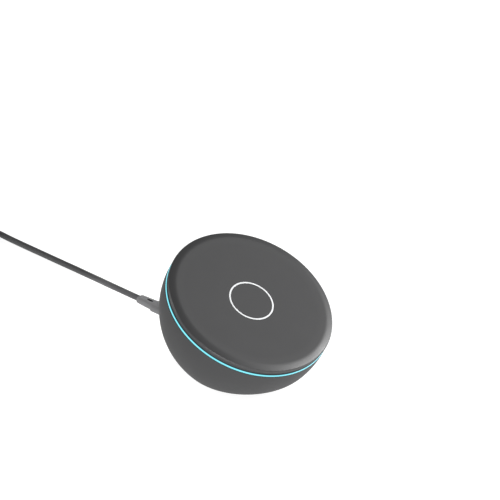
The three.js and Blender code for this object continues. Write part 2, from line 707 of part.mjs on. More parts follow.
function box(section, start, end) {
  return block(section[0], end - start, -section[1] / 2, section[1] / 2).translate(0, (start + end) / 2, 0);
}

const farShellStart = farBodyEnd + GAP;
const farShellEnd = farShellStart + FAR_SHELL.length;
const farShell = solid(box(FAR_SHELL.outer, farShellStart, farShellEnd))
  .subtract(solid(box(FAR_SHELL.cavity, farShellStart - CUT, farShellEnd + CUT)));
add(farEnd, 'usb_a_shell', farShell, materials.steel, farAxis);

// The insert fills the lower half of the shell and carries the contacts
const insertHeight = FAR_AXIS - FAR_SHELL.cavity[1] / 2 + GAP + FAR_INSERT.thickness / 2;
const insertSection = [FAR_INSERT.width, FAR_INSERT.thickness];
const insert = box(insertSection, farShellStart, farShellStart + FAR_INSERT.length);
add(farEnd, 'usb_a_insert', insert, materials.white, [0, 0, insertHeight]);

export default pad;
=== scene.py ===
"""Looks of a ball-shaped wireless charging stand with a slanted face, a light ring and a USB cable.

Sizes are in millimetres, in the CAD model's frame: +Z up, -Y the low side of the slanted face and
+Y the high side, where the cable plugs in. MM turns them into Blender's metres.
"""

import json
import math

import bmesh
import bpy
from mathutils import Matrix, Vector


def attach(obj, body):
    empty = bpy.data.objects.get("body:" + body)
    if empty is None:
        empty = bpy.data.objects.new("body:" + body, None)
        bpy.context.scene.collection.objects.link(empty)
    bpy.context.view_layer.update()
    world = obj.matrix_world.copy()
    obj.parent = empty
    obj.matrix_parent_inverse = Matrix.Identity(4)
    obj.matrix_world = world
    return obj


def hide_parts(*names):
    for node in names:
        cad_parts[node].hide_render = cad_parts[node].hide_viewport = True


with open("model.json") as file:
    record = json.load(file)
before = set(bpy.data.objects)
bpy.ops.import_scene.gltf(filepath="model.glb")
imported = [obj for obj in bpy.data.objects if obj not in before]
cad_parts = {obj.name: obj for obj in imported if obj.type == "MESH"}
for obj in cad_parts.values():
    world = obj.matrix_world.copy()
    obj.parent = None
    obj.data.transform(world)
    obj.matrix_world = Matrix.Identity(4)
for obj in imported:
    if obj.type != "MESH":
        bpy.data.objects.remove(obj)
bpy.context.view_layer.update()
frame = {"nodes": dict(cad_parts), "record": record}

MM = 0.001
NODES = frame["nodes"]

# ---------------------------------------------------------------- sizes

# Ball-shaped body
BALL_RADIUS = 47.5
BALL_HEIGHT = 40.4
BALL_CENTRE = Vector((0, 0, BALL_HEIGHT))
BASE_FILLET = 22.9
WALL = 2.3
FLOOR_TOP = 3.8
INNER_FILLET = 19.0
RIM_HEIGHT = 1.15
RIM_ROUND = 0.3
FACE_TILT = 30

# How finely the ball is divided
BALL_COLUMNS = 160
BALL_ROWS = 36
FILLET_STEPS = 14
RIM_STEPS = 4

# Slanted head, heights from the ball's centre along the face's normal
FACE_HEIGHT = 7.2
BEVEL_TILT = 16.5
BEVEL_CREASE = 7.0
CHAMFER_TILT = 60
CHAMFER_TOP = 6.2
CHAMFER_FOOT = 5.42
CHAMFER_ROUND = 0.35
COVER_EDGE = 4.9
COVER_EDGE_ROUND = 0.12
COVER_RADIUS = 47.5
COVER_INSIDE = 5.6
COVER_FOOT = 2.95
COVER_WALL_INNER = 44.0
FACE_RINGS = (30.0, 15.0)  # rows of points on the flat face
GROOVE_RADIUS = 46.9
CLIP_INNER = 29.2
CLIP_OUTER = 30.6
CLIP_FOOT = 0.15
MARK_RADII = (11.95, 12.85)
MARK_PROUD = 0.04
MARK_DEPTH = 0.3
GLOW_BOTTOM = 1.45
GLOW_TOP = 2.65
GLOW_INNER = 39.0
GLOW_ROUND = 0.2
HEAD_STEPS = 192

# Foot
FOOT_RADIUS = 22.0
FOOT_RECESS = 22.3
FOOT_TOP = 1.5
FOOT_RECESS_TOP = FOOT_TOP + 0.3
FOOT_EDGE = 0.4
FOOT_GROOVES = (9.0, 13.5, 18.0)
FOOT_GROOVE_WIDTHS = (1.2, 0.7)  # at the face and at the bottom
FOOT_GROOVE_DEPTH = 0.3

# Port and cord
PORT_HEIGHT = 16.8
PORT_OPENING = (11.2, 6.2)
PORT_FLARE = 0.5
CORD_RADIUS = 1.65
CORD_STEP = 1.6
CORD_SIDES = 20

# The cord from the strain relief to the coil, the same points as in the CAD model
LEAD_ROUTE = [
    (0.0, 82.3, 16.8), (0.0, 90.0, 16.8), (0.7, 97.0, 16.3), (2.5, 104.0, 15.0),
    (5.4, 111.0, 12.9), (9.0, 118.0, 10.3), (12.8, 125.0, 7.6), (16.1, 132.0, 5.2),
    (18.7, 139.0, 3.3), (20.3, 146.0, 2.15), (21.0, 153.0, 1.7), (21.0, 162.0, 1.65),
    (21.0, 175.0, 1.65), (21.0, 190.0, 1.65), (21.0, 204.0, 1.75), (21.0, 215.3, 2.1),
]

# Coil
COIL_CENTRE = Vector((-3.1, 230, 0))
COIL_INNER_TURN = 13.9
COIL_OUTER_TURN = 24.1
COIL_PITCH = 3.4
COIL_LIFT = 2.4  # height of the lower layer's centreline
LAYER_RISE = 3.35
CLIMB = (-0.35, 0.35)  # turns before and after the inmost point, between the two layers
TURN_BLEND = 0.12  # how softly the spiral turns round at its inmost point, in turns
TURN_STEPS = 72
TAIL_ANGLE = 165
TAIL_RADIUS = 24.85
FAR_AXIS = 3.8

# The cord from the coil down to the far plug, as (distance, height)
TAIL_ROUTE = [(6, 5.5), (11, 5.1), (16, 4.4), (20, FAR_AXIS)]

# Camera
CAMERA_AZIMUTH = -45
CAMERA_ELEVATION = 27
CAMERA_LENS = 1600
CAMERA_SENSOR = 36
VIEW_WIDTH = 270.2
VIEW_RIGHT = 1.78  # from the ball's centre to the middle of the view
VIEW_UP = 31.83
CLIP_METRES = (1.0, 100.0)

# ---------------------------------------------------------------- mesh building

SHARP_ANGLE = math.radians(34)
WELD = 0.002  # points closer than this become one
HEAD = Matrix.Translation(BALL_CENTRE) @ Matrix.Rotation(math.radians(FACE_TILT), 4, "X")


def ease(x):
    """0 before 0, 1 after 1, and a smooth step between."""
    x = min(max(x, 0.0), 1.0)
    return x * x * (3 - 2 * x)


def arc(centre, radii, start, end, steps):
    """Points of an elliptical arc in a profile, between two angles in degrees."""
    points = []
    for i in range(steps + 1):
        angle = math.radians(start + (end - start) * i / steps)
        points.append((centre[0] + radii[0] * math.cos(angle), centre[1] + radii[1] * math.sin(angle)))
    return points


def rounded_corner(before, corner, after, radius, steps):
    """The arc that rounds a profile's corner."""
    back = (Vector(before) - Vector(corner)).normalized()
    ahead = (Vector(after) - Vector(corner)).normalized()
    half = back.angle(ahead) / 2
    centre = Vector(corner) + (back + ahead).normalized() * radius / math.sin(half)
    start = (Vector(corner) + back * radius / math.tan(half) - centre).normalized()
    end = (Vector(corner) + ahead * radius / math.tan(half) - centre).normalized()
    return [tuple(centre + start.slerp(end, i / steps) * radius) for i in range(steps + 1)]


def outline(width, thickness, corner, steps=6):
    """A rectangle with round corners, as (across, up) points."""
    corner = min(corner, width / 2, thickness / 2)
    reach, rise = width / 2 - corner, thickness / 2 - corner
    centres = [(reach, rise), (-reach, rise), (-reach, -rise), (reach, -rise)]
    points = []
    for quarter, centre in enumerate(centres):
        points += arc(centre, (corner, corner), 90 * quarter, 90 * quarter + 90, steps)
    return points


def skin(rows, joined_ends=False):
    """A closed mesh through rows of points, each row a loop of the same count.

    The last row joins the first, or both ends are closed by a flat face."""
    made = bmesh.new()
    loops = [[made.verts.new(Vector(point) * MM) for point in row] for row in rows]
    pairs = list(zip(loops, loops[1:]))
    if joined_ends:
        pairs.append((loops[-1], loops[0]))
    else:
        made.faces.new(loops[0])
        made.faces.new(loops[-1])
    for low, high in pairs:
        for i in range(len(low)):
            k = (i + 1) % len(low)
            made.faces.new((low[i], low[k], high[k], high[i]))
    bmesh.ops.remove_doubles(made, verts=made.verts, dist=WELD * MM)
    # Rows on a turned piece's axis shrink to points, and leave a bare edge between them
    bare = [edge for edge in made.edges if not edge.link_faces]
    bmesh.ops.delete(made, geom=bare, context="EDGES")
    bmesh.ops.recalc_face_normals(made, faces=made.faces)
    return made


def turned(profile, steps, matrix=None):
    """A profile of (radius, height) points turned about the Z axis."""
    rows = []
    for radius, height in profile:
        row = []
        for i in range(steps):
            angle = 2 * math.pi * i / steps
            point = Vector((radius * math.cos(angle), radius * math.sin(angle), height))
            row.append(matrix @ point if matrix else point)
        rows.append(row)
    return skin(rows, joined_ends=True)


def loft(sections, matrix, steps=6):
    """A bar along +Y through (along, width, thickness, corner) sections about the Y axis."""
    rows = []
    for along, width, thickness, corner in sections:
        points = outline(width, thickness, corner, steps)
        rows.append([matrix @ Vector((x, along, z)) for x, z in points])
    return skin(rows)


def rounded_end(along, width, thickness, corner, rounding, outwards, steps=4):
    """The sections of a bar's rounded end, from the flat end face to the full section."""
    sections = []
    for i in range(steps + 1):
        angle = math.pi / 2 * i / steps
        inset = rounding * (1 - math.sin(angle))
        place = along + outwards * rounding * math.cos(angle) - outwards * rounding
        sections.append((place, width - 2 * inset, thickness - 2 * inset, max(corner - inset, 0.05)))
    return sections


def join(made, other):
    """Adds another bmesh's faces to a bmesh."""
    mesh = bpy.data.meshes.new("joined")
    other.to_mesh(mesh)
    other.free()
    made.from_mesh(mesh)
    bpy.data.meshes.remove(mesh)


def shade(mesh):
    """Smooth shading, with the sharp edges kept."""
    mesh.shade_smooth()
    mesh.set_sharp_from_angle(angle=SHARP_ANGLE)


def as_object(name, made):
    """An object from a bmesh."""
    mesh = bpy.data.meshes.new(name)
    made.to_mesh(mesh)
    made.free()
    shade(mesh)
    piece = bpy.data.objects.new(name, mesh)
    bpy.context.scene.collection.objects.link(piece)
    return piece


def cut(piece, tool):
    """Cuts a tool out of a piece, and removes the tool."""
    modifier = piece.modifiers.new("cut", "BOOLEAN")
    modifier.operation = "DIFFERENCE"
    modifier.solver = "EXACT"
    modifier.object = tool
    depsgraph = bpy.context.evaluated_depsgraph_get()
    mesh = bpy.data.meshes.new_from_object(piece.evaluated_get(depsgraph))
    piece.modifiers.clear()
    piece.data = mesh
    shade(mesh)
    bpy.data.objects.remove(tool)


# ---------------------------------------------------------------- camera


def direction(azimuth, elevation):
    """The unit vector towards a camera or light at that azimuth and elevation."""
    a, e = math.radians(azimuth), math.radians(elevation)
    return Vector((math.sin(a) * math.cos(e), -math.cos(a) * math.cos(e), math.sin(e)))


def make_camera():
    """A long lens from the low side of the face, to its left."""
    back = direction(CAMERA_AZIMUTH, CAMERA_ELEVATION)
    up = direction(CAMERA_AZIMUTH, CAMERA_ELEVATION + 90)
    right = up.cross(back)
    aim = BALL_CENTRE + right * VIEW_RIGHT + up * VIEW_UP
    distance = VIEW_WIDTH * CAMERA_LENS / CAMERA_SENSOR
    data = bpy.data.cameras.new("camera")
    data.lens = CAMERA_LENS
    data.sensor_width = CAMERA_SENSOR
    data.clip_start, data.clip_end = CLIP_METRES
    camera = bpy.data.objects.new("camera", data)
    camera.location = (aim + back * distance) * MM
    camera.rotation_mode = "QUATERNION"
    camera.rotation_quaternion = Matrix((right, up, back)).transposed().to_quaternion()
    bpy.context.scene.collection.objects.link(camera)
    bpy.context.scene.camera = camera


make_camera()

# ---------------------------------------------------------------- cord


def smooth_route(points, step):
    """Points about one step apart on a centripetal Catmull-Rom curve through the given points."""
    first = points[0] * 2 - points[1]
    last = points[-1] * 2 - points[-2]
    knots = [first, *points, last]
    route = []
    for p0, p1, p2, p3 in zip(knots, knots[1:], knots[2:], knots[3:]):
        t1 = (p1 - p0).length ** 0.5
        t2 = t1 + (p2 - p1).length ** 0.5
        t3 = t2 + (p3 - p2).length ** 0.5
        count = max(1, round((p2 - p1).length / step))
        for i in range(count):
            t = t1 + (t2 - t1) * i / count
            a1 = p0.lerp(p1, t / t1)
            a2 = p1.lerp(p2, (t - t1) / (t2 - t1))
            a3 = p2.lerp(p3, (t - t2) / (t3 - t2))
            b1 = a1.lerp(a2, t / t2)
            b2 = a2.lerp(a3, (t - t1) / (t3 - t1))
            route.append(b1.lerp(b2, (t - t1) / (t2 - t1)))
    route.append(points[-1])
    return route


def coil_turns():
    """The coil: in along the lower layer, up at the inmost point, and out along the upper layer."""
    inmost = (COIL_OUTER_TURN - COIL_INNER_TURN) / COIL_PITCH + TURN_BLEND
    end = math.floor(2 * inmost) + TAIL_ANGLE / 360
    climb_start, climb_end = CLIMB
    points = []
    for i in range(round(end * TURN_STEPS) + 1):
        past = i / TURN_STEPS - inmost
        radius = COIL_INNER_TURN + COIL_PITCH * (math.hypot(past, TURN_BLEND) - TURN_BLEND)
        rise = ease((past - climb_start) / (climb_end - climb_start))
        angle = 2 * math.pi * i / TURN_STEPS
        x = COIL_CENTRE.x + radius * math.cos(angle)
        y = COIL_CENTRE.y + radius * math.sin(angle)
        points.append(Vector((x, y, COIL_LIFT + LAYER_RISE * rise)))
    return points


def far_matrix():
    """The far plug's place: its origin is where the cord leaves the coil, +Y along the tangent."""
    angle = math.radians(TAIL_ANGLE)
    x = COIL_CENTRE.x + TAIL_RADIUS * math.cos(angle)
    y = COIL_CENTRE.y + TAIL_RADIUS * math.sin(angle)
    return Matrix.Translation((x, y, 0)) @ Matrix.Rotation(angle, 4, "Z")


def cord_route():
    """The cord's centreline from the strain relief, round the coil and to the far plug.

    Smooth joints take the place of the last steps before the coil and of its first and last ones."""
    lead = smooth_route([Vector(p) for p in LEAD_ROUTE], CORD_STEP)
    turns = coil_turns()
    entry = smooth_route([lead[-8], lead[-1], turns[0], turns[4], turns[9]], CORD_STEP)
    tail = [FAR_END @ Vector((0, along, height)) for along, height in TAIL_ROUTE]
    leaving = smooth_route([turns[-4], turns[-1], *tail], CORD_STEP)
    return lead[:-8] + entry + turns[10:-4] + leaving


def cord_tube(route):
    """A round tube along the route. Its sections are carried along without twisting."""
    rows = []
    across = Vector((1, 0, 0))
    for before, point, after in zip([route[0], *route], route, [*route[1:], route[-1]]):
        along = (after - before).normalized()
        across = (across - along * across.dot(along)).normalized()
        up = along.cross(across)
        row = []
        for i in range(CORD_SIDES):
            angle = 2 * math.pi * i / CORD_SIDES
            offset = across * math.cos(angle) + up * math.sin(angle)
            row.append(point + offset * CORD_RADIUS)
        rows.append(row)
    return as_object("cord", skin(rows))


FAR_END = far_matrix()
CORD_ROUTE = cord_route()
cord = cord_tube(CORD_ROUTE)
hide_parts("cord_lead", "cord_coil", "cord_tail")
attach(cord, "cable")

# ---------------------------------------------------------------- materials

BODY_GREY = (0.04, 0.04, 0.041)
BODY_ROUGHNESS = 0.7
EDGE_POLISH = 0.27
POLISH_RADII = (38, 47)
POLISH_HEIGHTS = (COVER_EDGE - 0.4, COVER_EDGE - 0.2)
CORD_GREY = (0.068, 0.068, 0.07)
# Painted light: a lighter copy of the cord's grey, so the plugs read as better lit than the cord
PLUG_GREY_PAINTED_LIGHT = (0.165, 0.165, 0.168)
PLUG_ROUGHNESS = 0.72
# Painted shade: the near black mixed into the collar's flutes, where their shadow falls
FLUTE_PAINTED_SHADE = (0.004, 0.004, 0.004)
GLOW_COLOUR = (0.2, 0.86, 1.0)
GLOW_STRENGTH = 1.0
LED_STRENGTH = 2.0
LED_COUNT = 8
GLOW_SKIN = (BALL_RADIUS - 0.35, BALL_RADIUS - 0.15)  # from dark to lit, as radii
STRAND_WIDTH = 0.9
TRACK_CELL = 2.2


class Shader:
    """A node material: a Principled shader, with short ways to drive it from textures."""

    def __init__(self, name, colour, roughness, metallic=0.0):
        self.material = bpy.data.materials.new(name)
        self.material.use_nodes = True
        self.tree = self.material.node_tree
        self.surface = self.tree.nodes["Principled BSDF"]
        self.colour = colour
        self.surface.inputs["Base Color"].default_value = (*colour, 1)
        self.surface.inputs["Roughness"].default_value = roughness
        self.surface.inputs["Metallic"].default_value = metallic
        self.place = self.tree.nodes.new("ShaderNodeTexCoord").outputs["Object"]
        self.height = None

    def node(self, kind, **inputs):
        made = self.tree.nodes.new(kind)
        for name, value in inputs.items():
            self.set(made.inputs[name.replace("_", " ")], value)
        return made

    def set(self, socket, value):
        """Links a node's output to the socket, or gives it a plain value."""
        if isinstance(value, bpy.types.NodeSocket):
            self.tree.links.new(value, socket)
        else:
            socket.default_value = value

    def maths(self, kind, first, second=0.0, third=0.0):
        made = self.tree.nodes.new("ShaderNodeMath")
        made.operation = kind
        for socket, value in zip(made.inputs, (first, second, third)):
            self.set(socket, value)
        return made.outputs[0]

    def length(self, first, second):
        squares = [self.maths("MULTIPLY", value, value) for value in (first, second)]
        return self.maths("SQRT", self.maths("ADD", *squares))

    def noise(self, size, detail=3.0, stretch=(1, 1, 1)):
        """Noise from 0 to 1 with features of about that size in millimetres."""
        scaled = self.node("ShaderNodeMapping", Vector=self.place, Scale=stretch)
        scale = 1 / (size * MM)
        made = self.node("ShaderNodeTexNoise", Vector=scaled.outputs[0], Scale=scale, Detail=detail)
        return made.outputs["Fac"]

    def ramp(self, value, low, high, start=0.0, end=1.0):
        """The value, from low..high, spread over start..end."""
        made = self.node("ShaderNodeMapRange", Value=value)
        for name, number in zip(("From Min", "From Max", "To Min", "To Max"), (low, high, start, end)):
            made.inputs[name].default_value = number
        return made.outputs[0]

    def mix(self, share, first, second):
        """A colour between two colours, each a tuple or a node's output."""
        made = self.tree.nodes.new("ShaderNodeMix")
        made.data_type = "RGBA"
        self.set(made.inputs["Factor"], share)
        for name, value in (("A", first), ("B", second)):
            socket = [i for i in made.inputs if i.name == name and i.type == "RGBA"][0]
            self.set(socket, (*value, 1) if isinstance(value, tuple) else value)
        return [o for o in made.outputs if o.type == "RGBA"][0]

    def driven(self, name):
        """The node output that drives one of the surface's inputs."""
        return self.surface.inputs[name].links[0].from_socket

    def tint(self, share, other):
        """Blends the base colour towards another one."""
        self.set(self.surface.inputs["Base Color"], self.mix(share, self.colour, other))

    def rough(self, value):
        self.set(self.surface.inputs["Roughness"], value)

    def gloss(self, level):
        self.surface.inputs["Specular IOR Level"].default_value = level

    def glow(self, colour, strength):
        self.surface.inputs["Emission Color"].default_value = (*colour, 1)
        self.set(self.surface.inputs["Emission Strength"], strength)

    def bump(self, value, depth):
        """Relief of that depth in millimetres, added to what is there."""
        made = self.node("ShaderNodeBump", Height=value, Distance=depth * MM, Strength=1.0)
        if self.height is not None:
            self.tree.links.new(self.height, made.inputs["Normal"])
        self.height = made.outputs["Normal"]
        self.tree.links.new(self.height, self.surface.inputs["Normal"])


def shade_of(colour, factor):
    return tuple(c * factor for c in colour)


def moulded(name, colour, roughness, grain=0.35, relief=0.012, spread=0.06):
    """Moulded plastic or rubber: fine spark-eroded grain, faint cloudiness and uneven sheen."""
    made = Shader(name, colour, roughness)
    cloud = made.noise(18.0, 2.0)
    fine = made.noise(grain, 4.0)
    speckle = made.ramp(fine, 0.35, 0.65)
    share = made.maths("ADD", made.maths("MULTIPLY", cloud, 0.6), made.maths("MULTIPLY", speckle, 0.4))
    made.tint(share, shade_of(colour, 1 + 2 * spread))
    made.rough(made.ramp(cloud, 0.3, 0.7, roughness - 0.03, roughness + 0.03))
    made.bump(fine, relief)
    return made


def cable_plastic(name, colour, roughness):
    """The cable's soft, flexible plastic: finely grained and hardly glossy."""
    made = moulded(name, colour, roughness, grain=0.25, relief=0.01)
    made.gloss(0.3)
    return made


def metal(name, colour, roughness):
    """Drawn or rolled metal: fine lines along +Y and slightly cloudy reflections."""
    made = Shader(name, colour, roughness, metallic=1.0)
    drawn = made.noise(0.15, 2.0, stretch=(1, 0.03, 1))
    cloud = made.noise(4.0, 3.0)
    made.tint(made.ramp(cloud, 0.3, 0.7), shade_of(colour, 0.86))
    made.rough(made.ramp(drawn, 0.3, 0.7, roughness - 0.07, roughness + 0.1))
    made.bump(drawn, 0.004)
    return made


def head_place(shader):
    """The place of a point in the slanted head's own frame."""
    shifted = shader.node("ShaderNodeVectorMath", Vector=shader.place)
    shifted.operation = "SUBTRACT"
    shifted.inputs[1].default_value = BALL_CENTRE * MM
    level = shader.tree.nodes.new("ShaderNodeVectorRotate")
    level.rotation_type = "X_AXIS"
    level.inputs["Angle"].default_value = math.radians(-FACE_TILT)
    shader.tree.links.new(shifted.outputs[0], level.inputs["Vector"])
    parts = shader.tree.nodes.new("ShaderNodeSeparateXYZ")
    shader.tree.links.new(level.outputs[0], parts.inputs[0])
    return parts.outputs


def body_material():
    """Fine matt grain, smoother towards the cover's edge."""
    made = moulded("body_plastic", BODY_GREY, BODY_ROUGHNESS, grain=0.3, relief=0.008, spread=0.04)
    made.gloss(0.45)
    across, along, height = head_place(made)
    inner, outer = POLISH_RADII
    below, above = POLISH_HEIGHTS
    on_edge = made.ramp(made.length(across, along), inner * MM, outer * MM)
    on_cover = made.ramp(height, below * MM, above * MM)
    matt = made.driven("Roughness")
    polished = made.maths("MULTIPLY", on_edge, on_cover)
    made.rough(made.maths("MULTIPLY_ADD", polished, -EDGE_POLISH, matt))
    return made.material


def glow_material():
    """Frosted guide, lit from behind by evenly spaced LEDs, that shines only from its outer face."""
    made = Shader("light_guide", (0.02, 0.03, 0.03), 0.35)
    across, along, _ = head_place(made)
    angle = made.maths("ARCTAN2", along, across)
    wave = made.maths("COSINE", made.maths("MULTIPLY", angle, LED_COUNT))
    frost = made.noise(0.6, 2.0)
    level = made.maths("ADD", made.ramp(wave, -1, 1, 0.97, 1.03), made.ramp(frost, 0, 1, -0.02, 0.02))
    radius = made.length(across, along)
    dark, lit = GLOW_SKIN
    outer = made.ramp(radius, dark * MM, lit * MM)
    strength = made.maths("MULTIPLY", made.maths("MULTIPLY", level, GLOW_STRENGTH), outer)
    made.glow(GLOW_COLOUR, strength)
    made.bump(frost, 0.01)
    return made.material


def coil_material():
    """Enamelled copper strands laid side by side round the coil, with painted shade in the grooves
    between them.
    """
    made = Shader("copper_wire", (0.62, 0.25, 0.1), 0.3, metallic=1.0)
    across, along, _ = head_place(made)
    turns = made.maths("MULTIPLY", made.length(across, along), 2 * math.pi / (STRAND_WIDTH * MM))
    strand = made.maths("SINE", turns)
    # Painted shade: darker copper in the grooves between the strands
    made.tint(made.ramp(strand, -1.0, 0.2, 1.0, 0.0), (0.2, 0.06, 0.02))
    made.rough(made.ramp(made.noise(1.5), 0.3, 0.7, 0.25, 0.4))
    made.bump(strand, 0.12)
    return made.material


def board_material():
    """Green solder mask with faint tracks under it."""
    made = moulded("circuit_board", (0.012, 0.10, 0.045), 0.32, grain=0.5, relief=0.004)
    cells = made.node("ShaderNodeTexVoronoi", Vector=made.place, Scale=1 / (TRACK_CELL * MM))
    cells.feature = "DISTANCE_TO_EDGE"
    track = made.ramp(cells.outputs["Distance"], 0.03, 0.09, 1.0, 0.0)
    made.tint(track, (0.03, 0.2, 0.08))
    made.bump(track, 0.03)
    return made.material


def led_material():
    """Cloudy resin that glows in the light ring's colour."""
    made = moulded("led_resin", (0.85, 0.8, 0.5), 0.25, grain=0.4, relief=0.003)
    made.glow(GLOW_COLOUR, LED_STRENGTH)
    return made.material


MATERIALS = {
    "body_plastic": body_material(),
    "mark_paint": moulded("mark_paint", (0.72, 0.73, 0.74), 0.5, 0.2, 0.004, 0.03).material,
    "light_guide": glow_material(),
    "inner_plastic": moulded("inner_plastic", (0.03, 0.03, 0.032), 0.5).material,
    "foot_rubber": moulded("foot_rubber", (0.022, 0.022, 0.023), 0.75, 0.6, 0.03, 0.1).material,
    "steel": metal("steel", (0.56, 0.56, 0.57), 0.32).material,
    "copper_wire": coil_material(),
    "ferrite": moulded("ferrite", (0.035, 0.032, 0.03), 0.55, 0.3, 0.02, 0.15).material,
    "circuit_board": board_material(),
    "chip_plastic": moulded("chip_plastic", (0.014, 0.014, 0.015), 0.42, 0.2, 0.008).material,
    "led_resin": led_material(),
    "connector_plastic": moulded("connector_plastic", (0.72, 0.71, 0.68), 0.42).material,
    "cord_plastic": cable_plastic("cord_plastic", CORD_GREY, 0.6).material,
    "tie_strap": moulded("tie_strap", (0.02, 0.02, 0.021), 0.7, 0.4, 0.05, 0.1).material,
}
# Painted light: the plugs' lighter copy of the cord plastic
PLUG_PLASTIC_PAINTED_LIGHT = cable_plastic("plug_plastic_painted_light", PLUG_GREY_PAINTED_LIGHT, PLUG_ROUGHNESS).material

for row in frame["record"]["subparts"]:
    slots = NODES[row["node"]].data.materials
    slots.clear()
    slots.append(MATERIALS[row["material_slot"]])

cord.data.materials.append(MATERIALS["cord_plastic"])


def finished(piece, slot, body, *nodes, material=None):
    """Gives a piece its material and its body, in place of the CAD nodes it stands for."""
    piece.data.materials.clear()
    piece.data.materials.append(material or MATERIALS[slot])
    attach(piece, body)
    if nodes:
        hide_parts(*nodes)


# ---------------------------------------------------------------- lower shell


def ball_column(turn, radius, bottom, fillet, start_radius):
    """One column of a flattened ball's surface, from its bottom up to the slanted rim.

    turn is the column's angle round the rim. It starts at start_radius, on the base's fillet or,
    where that lies further in, at the fillet's lowest point."""
    drop = BALL_HEIGHT - bottom - fillet
    centre = math.sqrt((radius - fillet) ** 2 - drop ** 2)
    tangent = -math.atan2(drop, centre)
    height = RIM_HEIGHT - RIM_ROUND
    reach = math.sqrt(radius ** 2 - height ** 2)
    top = HEAD @ Vector((reach * math.cos(turn), reach * math.sin(turn), height))
    azimuth = math.atan2(top.y, top.x)
    latitude = math.asin((top.z - BALL_HEIGHT) / radius)
    first = -math.pi / 2
    if start_radius > centre:
        first = -math.acos((start_radius - centre) / fillet)
    points = []
    for i in range(FILLET_STEPS):
        angle = first + (tangent - first) * i / FILLET_STEPS
        points.append((centre + fillet * math.cos(angle), bottom + fillet + fillet * math.sin(angle)))
    for i in range(BALL_ROWS + 1):
        angle = tangent + (latitude - tangent) * i / BALL_ROWS
        points.append((radius * math.cos(angle), BALL_HEIGHT + radius * math.sin(angle)))
    return [Vector((r * math.cos(azimuth), r * math.sin(azimuth), z)) for r, z in points]


def rim_corners(turn, inner_radius):
    """The rounded outer and inner corners of the slanted rim, at one angle round it."""
    corners = []
    for radius, side, start in ((BALL_RADIUS, 1, 0), (inner_radius, -1, 90)):
        edge = math.sqrt(radius ** 2 - RIM_HEIGHT ** 2) - side * RIM_ROUND
        centre = (edge, RIM_HEIGHT - RIM_ROUND)
        corner = arc(centre, (RIM_ROUND, RIM_ROUND), start, start + 90, RIM_STEPS)
        corners += [HEAD @ Vector((r * math.cos(turn), r * math.sin(turn), w)) for r, w in corner]
    return corners


def shell_body():
    """The ball-shaped shell: its outside, the rounded rim, its inside and the foot's recess."""
    inner_radius = BALL_RADIUS - WALL
    recess_middle = Vector((0, 0, FOOT_RECESS_TOP))
    floor_middle = Vector((0, 0, FLOOR_TOP))
    columns = []
    for i in range(BALL_COLUMNS):
        turn = 2 * math.pi * i / BALL_COLUMNS
        outside = ball_column(turn, BALL_RADIUS, 0, BASE_FILLET, FOOT_RECESS)
        inside = ball_column(turn, inner_radius, FLOOR_TOP, INNER_FILLET, 0)
        azimuth = math.atan2(outside[0].y, outside[0].x)
        recess_edge = Vector((math.cos(azimuth), math.sin(azimuth), 0)) * FOOT_RECESS + recess_middle
        corners = rim_corners(turn, inner_radius)[1:-1]
        columns.append([recess_middle, recess_edge, *outside, *corners, *inside[::-1], floor_middle])
    return as_object("shell_body", skin(list(zip(*columns))))


def port_cutter():
    """The plug's opening, with a mouth that flares smoothly into the ball's surface."""
    start, past, steps = 30.4, 3.0, 5
    width, height = PORT_OPENING

    def surface(x, z):
        return math.sqrt(BALL_RADIUS ** 2 - x ** 2 - (z + PORT_HEIGHT - BALL_HEIGHT) ** 2)

    rows = [[Vector((x, start, z + PORT_HEIGHT)) for x, z in outline(width, height, height / 2, 8)]]
    for i in range(steps + 1):
        angle = math.pi / 2 * i / steps
        widen = PORT_FLARE * (1 - math.cos(angle))
        sink = PORT_FLARE * (1 - math.sin(angle))
        wide = outline(width + 2 * widen, height + 2 * widen, height / 2 + widen, 8)
        rows.append([Vector((x, surface(x, z) - sink, z + PORT_HEIGHT)) for x, z in wide])
    rows.append([point + Vector((0, past, 0)) for point in rows[-1]])
    return as_object("port_cutter", skin(rows))


shell = shell_body()
cut(shell, port_cutter())
finished(shell, "body_plastic", "pad", "lower_shell")

# ---------------------------------------------------------------- foot


def foot():
    """A rubber disc with a rounded edge and shallow grip grooves underneath."""
    wide, narrow = [width / 2 for width in FOOT_GROOVE_WIDTHS]
    depth = FOOT_GROOVE_DEPTH
    profile = [(0.0, 0.0)]
    for radius in FOOT_GROOVES:
        profile += [(radius - wide, 0), (radius - narrow, depth)]
        profile += [(radius + narrow, depth), (radius + wide, 0)]
    side, rounding = FOOT_RADIUS - FOOT_EDGE, (FOOT_EDGE, FOOT_EDGE)
    profile += arc((side, FOOT_EDGE), rounding, -90, 0, 5)
    profile += arc((side, FOOT_TOP - FOOT_EDGE), rounding, 0, 90, 5)
    profile += [(0.0, FOOT_TOP)]
    return as_object("foot_disc", turned(profile, 128))


finished(foot(), "foot_rubber", "pad", "foot_pad")

# ---------------------------------------------------------------- slanted head


def face_edge():
    """The cover's edge: a steep chamfer at the side, a shallow bevel and a soft crease into the face."""
    bevel, steep = math.radians(BEVEL_TILT), math.radians(CHAMFER_TILT)
    side = (COVER_RADIUS, COVER_EDGE)
    chamfer_foot = (COVER_RADIUS, CHAMFER_FOOT)
    chamfer_top = (COVER_RADIUS - (CHAMFER_TOP - CHAMFER_FOOT) / math.tan(steep), CHAMFER_TOP)
    face = (chamfer_top[0] - (FACE_HEIGHT - CHAMFER_TOP) / math.tan(bevel), FACE_HEIGHT)
    profile = rounded_corner(side, chamfer_foot, chamfer_top, CHAMFER_ROUND, 5)
    profile += rounded_corner(chamfer_foot, chamfer_top, face, CHAMFER_ROUND, 6)
    profile += rounded_corner(chamfer_top, face, (0, FACE_HEIGHT), BEVEL_CREASE, 12)
    return profile


